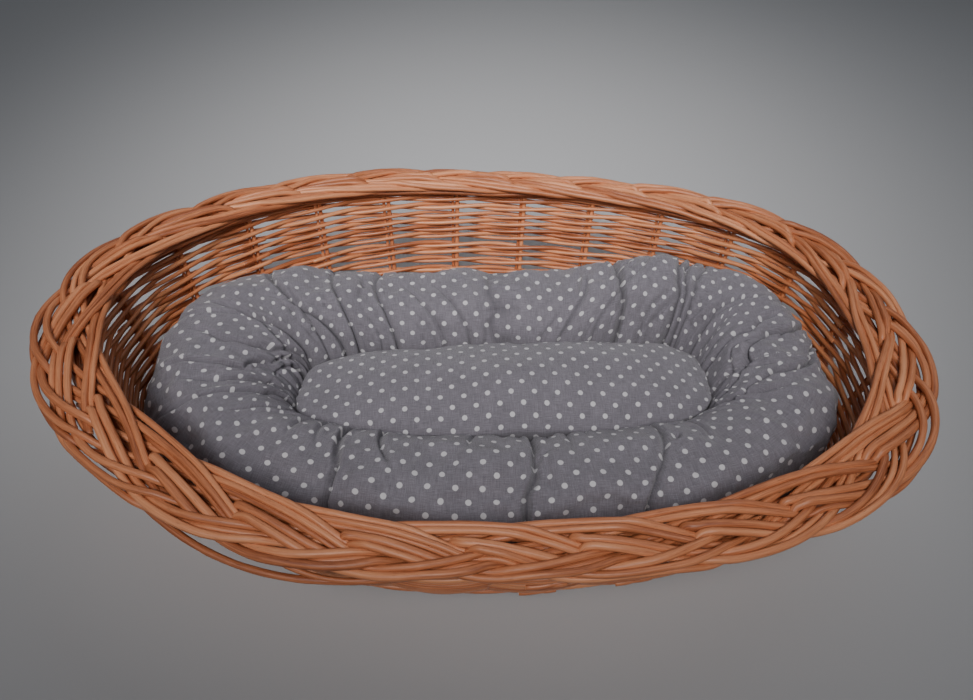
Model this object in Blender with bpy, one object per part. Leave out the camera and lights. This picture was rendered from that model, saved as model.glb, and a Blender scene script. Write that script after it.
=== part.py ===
"""Wicker pet bed basket: oval willow basket with a plaited border, and a loose padded cushion.

Metres, +Z up. The origin is the centre of the footprint, on the surface the basket stands on.
+X runs along the basket's length and +Y along its width.
"""
import math

import bmesh
import bpy
import numpy as np
from mathutils import Vector

# Rim: centre line of the border band, a superellipse bent a little out of true by hand weaving.
RIM_HALF_LENGTH = 0.4005
RIM_HALF_WIDTH = 0.2855
RIM_POWER = 2.40
RIM_HEIGHT = 0.188
RIM_END_RISE = 0.016
PLAN_SHIFT = (0.0055, 0.0)
# Share of the radius, as (cosine, sine) of 2, 3, 4 and 5 turns.
PLAN_WOBBLE = ((0.020, -0.012), (-0.005, 0.0), (0.023, 0.0), (-0.012, 0.0))

# Wall: how far it leans in below the rim, as slope and curve, at the ends and at the sides.
LEAN_ENDS = (0.10, 0.52)
LEAN_SIDES = (0.15, 1.15)
WALL_THICKNESS = 0.0140
STAKES = 24
STAKE_PHASE = 0.35
STAKE_HALF_WIDTH = 0.0045
STAKE_HALF_DEPTH = 0.0023
STAKE_TOP_GAP = 0.0165
STAKE_FOOT_INSET = 0.050
STAKE_BEND_INSET = 0.0100
STAKE_BEND_RISE = 0.0015
STAKE_FIRST_SHARE = 0.03
STAKE_RISE_STEPS = 6
GAP = 0.0004
CUT_OVERRUN = 0.002
ANGLE_STEP = 1e-3

# Base: woven oval plate, with cross sticks pierced by three long sticks, and the stakes' feet above.
BASE_THICKNESS = 0.016
BASE_EDGE_INSET = 0.0055
STICK_END_MARGIN = 0.001
SLOT_OVERRUN = 0.02
FOOT_LEVEL = 0.0115
CROSS_STICKS = 7
CROSS_SPACING = 0.088
CROSS_WIDTH = 0.009
CROSS_LEVELS = (0.0012, 0.0080)
LONG_STICKS = 3
LONG_WIDTH = 0.0050
LONG_PITCH = 0.0056
LONG_LEVELS = (0.0031, 0.0061)

# Wall bands, as heights up the side of the wall, from the base's top (0) to the border (1).
WALL_START = 0.0168
BANDS = (
    ("wale_upsett", 0.000, 0.120),
    ("weave_lower", 0.124, 0.440),
    ("weave_upper", 0.444, 0.830),
    ("wale_top", 0.834, 0.905),
)

# Border: three strands plaited flat, each a closed loop that swings in and out of the rim line.
STRANDS = 3
STRAND_SWING_SIDES = 0.0215
STRAND_SWING_ENDS = 0.0265
STRAND_LIFT = 0.0094
STRAND_HALF_WIDTH = 0.0094
STRAND_HALF_DEPTH = 0.0056
BORDER_TILT = 0.09

# Cushion: a stuffed ring round a stuffed pad, on a fabric bottom panel. The ring's section runs from
# an inner to an outer outline, each with its own half axes and squareness to the back and the front.
RING_INNER_CENTRE = (0.0175, -0.0195)
RING_INNER_HALF_LENGTH = (0.2270, 0.2265)
RING_INNER_HALF_WIDTH = (0.0720, 0.0720)
RING_INNER_POWER = (2.3, 2.3, 2.3)
RING_OUTER_CENTRE = (0.0145, -0.0175)
RING_OUTER_HALF_LENGTH = (0.3750, 0.3610)
RING_OUTER_HALF_WIDTH = (0.1840, 0.1890)
RING_OUTER_POWER = (3.6, 3.0, 2.35)
RING_HEIGHT = 0.1110
# The two back corners stand higher: extra height and its direction.
RING_RISES = ((0.027, math.radians(48.0)), (0.019, math.radians(145.0)))
RING_LEAN = 0.18
RING_SQUARENESS = 0.85
PAD_CENTRE = (0.0175, -0.0195)
PAD_HALF_LENGTH = 0.2190
PAD_HALF_WIDTH = 0.0665
PAD_POWER = 2.3
PAD_EDGE_HEIGHT = 0.0700
PAD_CROWN = 0.0270
PANEL_THICKNESS = 0.0016
PANEL_CENTRE = (0.0145, -0.0175)
PANEL_HALF_LENGTH = 0.332
PANEL_HALF_WIDTH = 0.163
PANEL_POWER = 2.4
# Pad outline, level by level: share of the half axes, share of the edge height, share of the crown.
PAD_LEVELS = (
    (0.90, 0.0, 0.0), (0.985, 0.17, 0.0), (1.0, 0.6, 0.0),
    (0.965, 1.0, 0.0), (0.80, 1.0, 0.62), (0.45, 1.0, 0.93),
)

RIM_SAMPLES = 2880
BAND_SEGMENTS = 48
STRAND_STEPS_PER_STAKE = 4
STAKE_SIDES = 6
STRAND_SIDES = 6
RING_SEGMENTS = 48
RING_SIDES = 12
PAD_SEGMENTS = 36

WILLOW = ("willow", (0.60, 0.27, 0.10, 1.0), 0.42)
STICK = ("base_stick", (0.55, 0.25, 0.10, 1.0), 0.48)
COTTON = ("dotted_cotton", (0.30, 0.29, 0.31, 1.0), 0.85)
LINING = ("bottom_cloth", (0.27, 0.26, 0.28, 1.0), 0.88)


def clear_scene():
    """Remove every object the file starts with."""
    for obj in list(bpy.data.objects):
        bpy.data.objects.remove(obj, do_unlink=True)


def material(spec):
    """Principled material from (name, colour, roughness), made once."""
    name, colour, roughness = spec
    found = bpy.data.materials.get(name)
    if found:
        return found
    mat = bpy.data.materials.new(name)
    mat.use_nodes = True
    shader = mat.node_tree.nodes["Principled BSDF"]
    shader.inputs["Base Color"].default_value = colour
    shader.inputs["Roughness"].default_value = roughness
    shader.inputs["Metallic"].default_value = 0.0
    mat.diffuse_color = colour
    return mat


def super_point(angle, half_x, half_y, power):
    """Point of a superellipse at a parameter angle."""
    c = math.cos(angle)
    s = math.sin(angle)
    x = half_x * math.copysign(abs(c) ** (2.0 / power), c)
    y = half_y * math.copysign(abs(s) ** (2.0 / power), s)
    return x, y


def plan_point(angle, inset_x=0.0, inset_y=0.0):
    """Point of the basket's plan, with the half axes drawn in by the two insets."""
    x, y = super_point(angle, RIM_HALF_LENGTH - inset_x, RIM_HALF_WIDTH - inset_y, RIM_POWER)
    true_angle = math.atan2(y / RIM_HALF_WIDTH, x / RIM_HALF_LENGTH)
    share = 1.0
    for order, (cosine, sine) in enumerate(PLAN_WOBBLE, start=2):
        share += cosine * math.cos(order * true_angle) + sine * math.sin(order * true_angle)
    return x * share + PLAN_SHIFT[0], y * share + PLAN_SHIFT[1]


def rim_angles():
    """Parameter angles at equal steps along the rim, from the +X end, anticlockwise."""
    angles = np.linspace(0.0, 2.0 * math.pi, RIM_SAMPLES + 1)
    points = np.array([plan_point(a) for a in angles])
    steps = np.hypot(*np.diff(points, axis=0).T)
    length = np.concatenate([[0.0], np.cumsum(steps)])
    return angles, length / length[-1] * STAKES


RIM_ANGLES, RIM_STATIONS = rim_angles()


def angle_at(station):
    """Parameter angle at a station counted in stake spacings."""
    return float(np.interp(station % STAKES, RIM_STATIONS, RIM_ANGLES))


def rim_height(angle):
    """Height of the border's centre line: the two ends stand higher than the sides."""
    return RIM_HEIGHT + RIM_END_RISE * (math.cos(angle) ** 2 - 0.5)


def lean(depth, law):
    """How far the wall has drawn in at a depth below the rim."""
    slope, curve = law
    return slope * depth + curve * depth * depth


def wall_frame(angle, share):
    """Point on the wall's middle surface, its outward normal in plan, and its tangent.

    share is 0 at the base and 1 at the border's centre line.
    """
    top = rim_height(angle)
    height = WALL_START + share * (top - WALL_START)
    depth = (1.0 - share) * (RIM_HEIGHT - WALL_START)
    insets = lean(depth, LEAN_ENDS), lean(depth, LEAN_SIDES)
    before = Vector(plan_point(angle - ANGLE_STEP, *insets))
    after = Vector(plan_point(angle + ANGLE_STEP, *insets))
    along = (after - before).normalized()
    x, y = plan_point(angle, *insets)
    out = Vector((along.y, -along.x, 0.0))
    return Vector((x, y, height)), out, Vector((along.x, along.y, 0.0))


def add_object(name, bm, spec, smooth_angle=None):
    """Turn a bmesh into a named object with its own material."""
    bmesh.ops.recalc_face_normals(bm, faces=bm.faces[:])
    mesh = bpy.data.meshes.new(name)
    bm.to_mesh(mesh)
    bm.free()
    if smooth_angle is not None:
        mesh.shade_smooth()
        mesh.set_sharp_from_angle(angle=math.radians(smooth_angle))
    obj = bpy.data.objects.new(name, mesh)
    obj.data.materials.append(material(spec))
    bpy.context.scene.collection.objects.link(obj)
    return obj


def loft(bm, sections, closed):
    """Skin a list of equal sections; an open run gets flat end caps."""
    rings = [[bm.verts.new(p) for p in section] for section in sections]
    count = len(rings)
    last = count if closed else count - 1
    for i in range(last):
        a = rings[i]
        b = rings[(i + 1) % count]
        for k in range(len(a)):
            j = (k + 1) % len(a)
            bm.faces.new((a[k], a[j], b[j], b[k]))
    if not closed:
        bm.faces.new(rings[0])
        bm.faces.new(list(reversed(rings[-1])))


def oval_section(centre, side, up, half_side, half_up, sides):
    """Points of an oval section round a centre, in the plane of side and up."""
    points = []
    for k in range(sides):
        turn = 2.0 * math.pi * (k + 0.5) / sides
        points.append(centre + side * (half_side * math.cos(turn)) + up * (half_up * math.sin(turn)))
    return points


def box(bm, low, high):
    """Axis-aligned box between two corners."""
    corners = [(x, y, z) for z in (low[2], high[2]) for y in (low[1], high[1]) for x in (low[0], high[0])]
    v = [bm.verts.new(c) for c in corners]
    for face in ((0, 2, 3, 1), (4, 5, 7, 6), (0, 1, 5, 4), (2, 6, 7, 3), (0, 4, 6, 2), (1, 3, 7, 5)):
        bm.faces.new([v[i] for i in face])


def as_cutter(obj):
    """Mark an object as a cutter, which isn't part of the basket."""
    obj.hide_render = True
    obj.display_type = "WIRE"
    return obj


def cut(obj, cutter):
    """Cut a cutter's shape out of an object."""
    mod = obj.modifiers.new("cut_" + cutter.name, "BOOLEAN")
    mod.operation = "DIFFERENCE"
    mod.solver = "EXACT"
    mod.object = cutter


# ---------------------------------------------------------------- stakes


def stake_path(angle):
    """Centre line of a stake pair: foot in the base, bend at the edge, then up the wall."""
    foot, out, _ = wall_frame(angle, 0.0)
    path = [
        foot - out * STAKE_FOOT_INSET + Vector((0, 0, FOOT_LEVEL - foot.z)),
        foot - out * STAKE_BEND_INSET + Vector((0, 0, FOOT_LEVEL - foot.z)),
        foot - out * (STAKE_BEND_INSET * 0.3) + Vector((0, 0, FOOT_LEVEL + STAKE_BEND_RISE - foot.z)),
    ]
    top_share = 1.0 - STAKE_TOP_GAP / (rim_height(angle) - WALL_START)
    for share in np.linspace(STAKE_FIRST_SHARE, top_share, STAKE_RISE_STEPS):
        path.append(wall_frame(angle, float(share))[0])
    return path, out


def stake_mesh(bm, angle, grow=0.0, overrun=0.0):
    """Sweep the oval section of one stake pair along its path."""
    path, out = stake_path(angle)
    along = Vector((-out.y, out.x, 0.0))
    if overrun:
        path[0] = path[0] - out * overrun
        path[-1] = path[-1] + (path[-1] - path[-2]).normalized() * overrun
    sections = []
    for i, point in enumerate(path):
        before = path[max(i - 1, 0)]
        after = path[min(i + 1, len(path) - 1)]
        forward = (after - before).normalized()
        thick = forward.cross(along).normalized()
        sections.append(
            oval_section(point, along, thick, STAKE_HALF_WIDTH + grow, STAKE_HALF_DEPTH + grow, STAKE_SIDES)
        )
    loft(bm, sections, closed=False)


def build_stakes():
    """The stake pairs, each its own node, and one cutter with a running gap round them all."""
    for i in range(STAKES):
        bm = bmesh.new()
        stake_mesh(bm, angle_at(i + STAKE_PHASE))
        add_object(f"stake_{i + 1:02d}", bm, WILLOW, 40)
    bm = bmesh.new()
    for i in range(STAKES):
        stake_mesh(bm, angle_at(i + STAKE_PHASE), GAP, CUT_OVERRUN)
    return as_cutter(add_object("stake_room", bm, WILLOW))


# ---------------------------------------------------------------- wall bands


def build_band(name, low, high, stake_room):
    """One band of weaving: a ring round the wall, with room for each stake pair through it."""
    bm = bmesh.new()
    half = WALL_THICKNESS / 2.0
    sections = []
    for i in range(BAND_SEGMENTS):
        angle = angle_at(i * STAKES / BAND_SEGMENTS)
        bottom, out_b, _ = wall_frame(angle, low)
        top, out_t, _ = wall_frame(angle, high)
        sections.append(
            [bottom - out_b * half, bottom + out_b * half, top + out_t * half, top - out_t * half]
        )
    loft(bm, sections, closed=True)
    cut(add_object(name, bm, WILLOW, 35), stake_room)


# ---------------------------------------------------------------- border


def strand_point(station, index):
    """Centre of a border strand at a station, with its frame."""
    angle = angle_at(station)
    centre, out, _ = wall_frame(angle, 1.0)
    turn = 2.0 * math.pi * (station - index) / STRANDS
    ends = math.cos(angle) ** 2
    swing = STRAND_SWING_SIDES + (STRAND_SWING_ENDS - STRAND_SWING_SIDES) * ends
    across = swing * math.cos(turn)
    lift = STRAND_LIFT * math.sin(2.0 * turn) - BORDER_TILT * across
    return centre + out * across + Vector((0, 0, lift)), out


def build_strands():
    """The three strands of the plaited border."""
    count = STAKES * STRAND_STEPS_PER_STAKE
    for index in range(STRANDS):
        bm = bmesh.new()
        points = [strand_point(i / STRAND_STEPS_PER_STAKE, index) for i in range(count)]
        sections = []
        for i, (point, _) in enumerate(points):
            forward = (points[(i + 1) % count][0] - points[i - 1][0]).normalized()
            side = forward.cross(Vector((0, 0, 1))).normalized()
            up = side.cross(forward).normalized()
            sections.append(
                oval_section(point, side, up, STRAND_HALF_WIDTH, STRAND_HALF_DEPTH, STRAND_SIDES)
            )
        loft(bm, sections, closed=True)
        add_object(f"border_strand_{'abc'[index]}", bm, WILLOW, 50)


# ---------------------------------------------------------------- base


def cross_positions():
    """X positions of the cross sticks."""
    middle = (CROSS_STICKS - 1) / 2.0
    return [PLAN_SHIFT[0] + (i - middle) * CROSS_SPACING for i in range(CROSS_STICKS)]


def base_edge():
    """Plan of the woven base's edge, inside the stakes' bends."""
    points = []
    for i in range(BAND_SEGMENTS):
        foot, out, _ = wall_frame(angle_at(i * STAKES / BAND_SEGMENTS), 0.0)
        points.append(foot - out * BASE_EDGE_INSET)
    return points


def edge_half_width(edge, x):
    """Lowest and highest Y of the base at a given X."""
    upper = sorted((p.x, p.y) for p in edge if p.y >= 0.0)
    lower = sorted((p.x, p.y) for p in edge if p.y < 0.0)
    high = float(np.interp(x, [p[0] for p in upper], [p[1] for p in upper]))
    low = float(np.interp(x, [p[0] for p in lower], [p[1] for p in lower]))
    return low, high


def stick_box(name, low, high, spec=STICK, grow=0.0, overrun=(0.0, 0.0, 0.0)):
    """A squared stick, or the room for it when grown."""
    bm = bmesh.new()
    more = [grow + extra for extra in overrun]
    box(bm, [a - m for a, m in zip(low, more)], [b + m for b, m in zip(high, more)])
    return add_object(name, bm, spec)


def build_base(stake_room):
    """The woven base plate, its cross sticks and the long sticks threaded through them."""
    edge = base_edge()
    bm = bmesh.new()
    bottom = [Vector((p.x, p.y, 0.0)) for p in edge]
    top = [Vector((p.x, p.y, BASE_THICKNESS)) for p in edge]
    loft(bm, [bottom, top], closed=False)
    plate = add_object("base_weave", bm, WILLOW, 35)
    cut(plate, stake_room)

    left = min(p.x for p in edge) + STICK_END_MARGIN
    right = max(p.x for p in edge) - STICK_END_MARGIN
    span = (LONG_STICKS - 1) / 2.0 * LONG_PITCH + LONG_WIDTH / 2.0
    slot = as_cutter(
        stick_box(
            "long_room", (left, -span, LONG_LEVELS[0]), (right, span, LONG_LEVELS[1]),
            grow=GAP, overrun=(SLOT_OVERRUN, 0.0, 0.0),
        )
    )
    cut(plate, slot)
    for i in range(LONG_STICKS):
        y = (i - (LONG_STICKS - 1) / 2.0) * LONG_PITCH
        half = LONG_WIDTH / 2.0
        low = (left, y - half, LONG_LEVELS[0])
        high = (right, y + half, LONG_LEVELS[1])
        stick_box(f"base_stick_long_{i + 1}", low, high)
    for i, x in enumerate(cross_positions()):
        low_y, high_y = edge_half_width(edge, x)
        half = CROSS_WIDTH / 2.0
        low = (x - half, low_y + 2 * STICK_END_MARGIN, CROSS_LEVELS[0])
        high = (x + half, high_y - 2 * STICK_END_MARGIN, CROSS_LEVELS[1])
        stick = stick_box(f"base_stick_cross_{i + 1}", low, high)
        cut(stick, slot)
        room = stick_box(f"cross_room_{i + 1}", low, high, grow=GAP, overrun=(0.0, SLOT_OVERRUN, 0.0))
        cut(plate, as_cutter(room))


# ---------------------------------------------------------------- cushion


def ring_outline(angle, centre, half_lengths, half_widths, powers):
    """Point of an outline whose halves differ: left and right lengths, back and front widths."""
    back = math.sin(angle) > 0.0
    left = math.cos(angle) < 0.0
    power = powers[0 if left else 1] if back else powers[2]
    x, y = super_point(angle, half_lengths[0 if left else 1], half_widths[0 if back else 1], power)
    return Vector((centre[0] + x, centre[1] + y, 0.0))


def ring_section(angle, floor):
    """Section of the stuffed ring at an angle: an oval with a flat underside, leaning out a little."""
    inner = ring_outline(
        angle, RING_INNER_CENTRE, RING_INNER_HALF_LENGTH, RING_INNER_HALF_WIDTH, RING_INNER_POWER
    )
    outer = ring_outline(
        angle, RING_OUTER_CENTRE, RING_OUTER_HALF_LENGTH, RING_OUTER_HALF_WIDTH, RING_OUTER_POWER
    )
    out = (outer - inner).normalized()
    breadth = (outer - inner).length / 2.0
    rise = sum(height * max(0.0, math.cos(angle - towards)) for height, towards in RING_RISES)
    lowest = math.cos(math.pi / RING_SIDES) ** RING_SQUARENESS
    half_up = (RING_HEIGHT + rise) / 2.0 / lowest
    centre = (inner + outer) / 2.0 + Vector((0, 0, floor + half_up * lowest))
    points = []
    for k in range(RING_SIDES):
        turn = 2.0 * math.pi * (k + 0.5) / RING_SIDES
        c = math.cos(turn)
        s = math.sin(turn)
        up = math.copysign(abs(s) ** RING_SQUARENESS, s) * half_up
        side = math.copysign(abs(c) ** RING_SQUARENESS, c) * breadth + RING_LEAN * up
        points.append(centre + out * side + Vector((0, 0, up)))
    return points


def build_ring(floor):
    """The stuffed ring that borders the cushion."""
    bm = bmesh.new()
    sections = [ring_section(2.0 * math.pi * i / RING_SEGMENTS, floor) for i in range(RING_SEGMENTS)]
    loft(bm, sections, closed=True)
    add_object("cushion_bolster", bm, COTTON, 60)


def build_pad(floor):
    """The crowned centre pad."""
    bm = bmesh.new()
    sections = []
    for share, edge, crown in PAD_LEVELS:
        height = edge * PAD_EDGE_HEIGHT + crown * PAD_CROWN
        ring = []
        for i in range(PAD_SEGMENTS):
            x, y = super_point(2.0 * math.pi * i / PAD_SEGMENTS, PAD_HALF_LENGTH, PAD_HALF_WIDTH, PAD_POWER)
            ring.append(Vector((PAD_CENTRE[0] + x * share, PAD_CENTRE[1] + y * share, floor + height)))
        sections.append(ring)
    loft(bm, sections, closed=False)
    add_object("cushion_pad", bm, COTTON, 60)


def build_panel(floor):
    """The flat cloth panel that closes the cushion underneath."""
    bm = bmesh.new()
    sections = []
    for height in (0.0, PANEL_THICKNESS):
        ring = []
        for i in range(RING_SEGMENTS):
            angle = 2.0 * math.pi * i / RING_SEGMENTS
            x, y = super_point(angle, PANEL_HALF_LENGTH, PANEL_HALF_WIDTH, PANEL_POWER)
            ring.append(Vector((PANEL_CENTRE[0] + x, PANEL_CENTRE[1] + y, floor + height)))
        sections.append(ring)
    loft(bm, sections, closed=False)
    add_object("cushion_bottom_panel", bm, LINING, 35)


def main():
    """Build the whole basket."""
    clear_scene()
    stake_room = build_stakes()
    for name, low, high in BANDS:
        build_band(name, low, high, stake_room)
    build_strands()
    build_base(stake_room)
    panel_floor = BASE_THICKNESS + GAP
    stuffing_floor = panel_floor + PANEL_THICKNESS + GAP
    build_panel(panel_floor)
    build_ring(stuffing_floor)
    build_pad(stuffing_floor)


main()
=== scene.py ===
"""Look of the wicker pet bed: willow rods, a plaited border and a dotted cotton cushion."""
import math

import bmesh
import bpy
import numpy as np
from mathutils import Matrix, Vector
from mathutils.kdtree import KDTree


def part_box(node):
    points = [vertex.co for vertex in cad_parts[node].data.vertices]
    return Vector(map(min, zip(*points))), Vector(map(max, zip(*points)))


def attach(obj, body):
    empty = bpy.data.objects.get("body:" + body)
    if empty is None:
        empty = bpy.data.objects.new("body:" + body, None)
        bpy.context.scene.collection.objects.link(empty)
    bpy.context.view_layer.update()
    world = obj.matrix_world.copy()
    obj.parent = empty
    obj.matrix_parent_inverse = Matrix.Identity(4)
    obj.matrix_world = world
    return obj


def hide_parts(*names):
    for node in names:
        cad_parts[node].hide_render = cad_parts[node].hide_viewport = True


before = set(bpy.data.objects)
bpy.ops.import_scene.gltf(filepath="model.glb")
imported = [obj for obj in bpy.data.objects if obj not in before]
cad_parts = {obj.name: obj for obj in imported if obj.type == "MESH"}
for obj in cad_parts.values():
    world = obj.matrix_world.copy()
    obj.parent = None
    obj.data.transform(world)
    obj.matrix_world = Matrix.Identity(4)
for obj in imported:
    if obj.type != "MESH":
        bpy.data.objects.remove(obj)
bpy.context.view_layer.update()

rng = np.random.default_rng(41)
scene = bpy.context.scene

# ---- plan shared with the CAD model

RIM_HALF_LENGTH = 0.4005
RIM_HALF_WIDTH = 0.2855
RIM_POWER = 2.40
RIM_HEIGHT = 0.188
RIM_END_RISE = 0.016
PLAN_SHIFT = (0.0055, 0.0)
PLAN_WOBBLE = ((0.020, -0.012), (-0.005, 0.0), (0.023, 0.0), (-0.012, 0.0))
LEAN_ENDS = (0.10, 0.52)
LEAN_SIDES = (0.15, 1.15)
FRONT_DRAW = 0.32
WALL_START = 0.0168
WALL_DEPTH = RIM_HEIGHT - WALL_START
STAKES = 24
STAKE_PHASE = 0.35
KINK_PHASE = 0.62
STAKE_FOOT_INSET = 0.050
FOOT_LEVEL = 0.0115
BASE_EDGE_INSET = 0.0055
BASE_ROUNDS = 36
CORE_HALF_WIDTH = 0.0125
CROSS_STICKS = 7
CROSS_SPACING = 0.088
BAND_WIDTH_SIDES = 0.052
BAND_WIDTH_ENDS = 0.063
BAND_NARROWING = 0.010

STUFFING_FLOOR = 0.0188
RING_INNER = ((0.0265, -0.0185), (0.2370, 0.2370), (0.0830, 0.0665), (3.6, 4.4, 2.4, 3.2), 0.05)
RING_OUTER = ((0.0145, -0.0175), (0.3770, 0.3730), (0.1880, 0.1895), (3.7, 3.8, 2.4, 2.4), 0.0)
RING_HEIGHT = 0.1110
RING_RISES = ((0.030, math.radians(48.0)), (0.019, math.radians(145.0)))
RING_LEAN = 0.18
SECTION_POWER = 0.88
BACK_PLACES = (-0.32, -0.25, -0.17, -0.03, 0.11, 0.15, 0.19, 0.24, 0.33)
BACK_LEVELS = (0.0, -0.010, -0.028, -0.025, -0.034, -0.020, -0.010, 0.006, 0.0)
SEAM_POWER = 2.3
DEEPEST = 0.0135
GATHERS = 70
RING_GRID_STEP = 3
MM = 0.001
PAD_OUTLINE = ((0.0265, -0.0185), (0.2360, 0.2360), (0.0800, 0.0635), (3.6, 4.4, 2.4, 3.2), 0.05)
PAD_HALF_WIDTH = 0.0700
PAD_EDGE_HEIGHT = 0.0680
PAD_CROWN = 0.0280
PAD_EDGE_ROWS = 0.18
PAD_PRINT_TURN = math.radians(-2.0)
PANEL_FLOOR = 0.0164
PANEL_CENTRE = (0.0145, -0.0175)
PANEL_HALF_LENGTH = 0.331
PANEL_HALF_WIDTH = 0.162
PANEL_POWER = 2.4

FLOOR_SIZE = 12.0
SENSOR_WIDTH = 36.0
CAMERA_FOCAL = 0.765745
CAMERA_PLACE = (-0.0414, -0.6032, 0.7002)
CAMERA_PITCH = 0.7508
CAMERA_ROLL = 0.0535
CAMERA_YAW = 0.0707

CLOTH_STEPS = 20
CLOTH_CAP = 0.010
CLOTH_SLACK = 0.06
RING_PRESSURE = 3.0
PUCKER = 0.9

TAU = 2.0 * math.pi
DOT_PITCH = 0.0257
THREAD_PITCH = 0.0011
# added to the tone of a rod's cut end, for the willow material
CUT_MARK = 2.0


def signed_power(value, power):
    return np.sign(value) * np.abs(value) ** power


def super_xy(t, half_x, half_y, power):
    """Superellipse points at parameter angles."""
    return half_x * signed_power(np.cos(t), 2.0 / power), half_y * signed_power(np.sin(t), 2.0 / power)


def plan_xy(t, inset_x=0.0, inset_y=0.0):
    """The basket's plan, with the half axes drawn in by the two insets."""
    x, y = super_xy(t, RIM_HALF_LENGTH - inset_x, RIM_HALF_WIDTH - inset_y, RIM_POWER)
    true_angle = np.arctan2(y / RIM_HALF_WIDTH, x / RIM_HALF_LENGTH)
    share = 1.0
    for order, (cosine, sine) in enumerate(PLAN_WOBBLE, start=2):
        share = share + cosine * np.cos(order * true_angle) + sine * np.sin(order * true_angle)
    return x * share + PLAN_SHIFT[0], y * share + PLAN_SHIFT[1]


def lengths_along(line):
    """Distance from the first point of a line to each of its points."""
    return np.concatenate([[0.0], np.cumsum(np.linalg.norm(np.diff(line, axis=0), axis=1))])


RIM_ANGLES = np.linspace(0.0, TAU, 2881)
RIM_STATIONS = lengths_along(np.stack(plan_xy(RIM_ANGLES), -1))
RIM_STATIONS = RIM_STATIONS / RIM_STATIONS[-1] * STAKES


def angle_at(station):
    """Parameter angle at stations counted in stake spacings."""
    return np.interp(np.mod(station, STAKES), RIM_STATIONS, RIM_ANGLES)


def rim_height(t):
    return RIM_HEIGHT + RIM_END_RISE * (np.cos(t) ** 2 - 0.5)


def front_share(t):
    """How far a place belongs to the middle of the front, 0 to 1: the wall is drawn in more there."""
    return np.maximum(0.0, -np.sin(t)) ** 6


def wall_frame(station, share):
    """Wall middle surface at stations and heights: points, outward normals and tangents."""
    station = np.asarray(station, float)
    share = np.broadcast_to(np.asarray(share, float), station.shape)
    t = angle_at(station)
    top = rim_height(t)
    z = WALL_START + share * (top - WALL_START)
    depth = (1.0 - share) * WALL_DEPTH
    ix = LEAN_ENDS[0] * depth + LEAN_ENDS[1] * depth * depth
    iy = LEAN_SIDES[0] * depth + (LEAN_SIDES[1] + FRONT_DRAW * front_share(t)) * depth * depth
    step = 4e-3
    x0, y0 = plan_xy(t - step, ix, iy)
    x1, y1 = plan_xy(t + step, ix, iy)
    x, y = plan_xy(t, ix, iy)
    n = np.hypot(x1 - x0, y1 - y0)
    along = np.stack([(x1 - x0) / n, (y1 - y0) / n, np.zeros_like(n)], -1)
    out = np.stack([along[..., 1], -along[..., 0], np.zeros_like(n)], -1)
    return np.stack([x, y, z], -1), out, along


# ---- rods

UP = np.array([0.0, 0.0, 1.0])
KNOT_SPACING = 0.22


def resample(path, step):
    """Even resampling of a smooth curve through control points (Catmull-Rom, then arc length)."""
    p = np.vstack([2 * path[0] - path[1], path, 2 * path[-1] - path[-2]])
    u = np.linspace(0.0, 1.0, 9)[:-1][:, None]
    out = []
    for a, b, c, d in zip(p, p[1:], p[2:], p[3:]):
        bend = (2 * a - 5 * b + 4 * c - d) * u ** 2 + (3 * b - a - 3 * c + d) * u ** 3
        out.append(0.5 * (2 * b + (c - a) * u + bend))
    out.append(p[-2][None])
    fine = np.vstack(out)
    length = lengths_along(fine)
    count = max(4, int(round(length[-1] / step)) + 1)
    even = np.linspace(0.0, length[-1], count)
    return np.stack([np.interp(even, length, fine[:, k]) for k in range(3)], -1)


def smooth_object(name, points, faces, attribute, coords, mat):
    """A smooth mesh object in the scene, with one point attribute of three numbers for its material."""
    mesh = bpy.data.meshes.new(name)
    mesh.from_pydata(points.tolist(), [], faces)
    attr = mesh.attributes.new(attribute, "FLOAT_VECTOR", "POINT")
    attr.data.foreach_set("vector", coords.astype(np.float32).ravel())
    mesh.update()
    mesh.shade_smooth()
    obj = bpy.data.objects.new(name, mesh)
    obj.data.materials.append(mat)
    scene.collection.objects.link(obj)
    return obj


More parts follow.
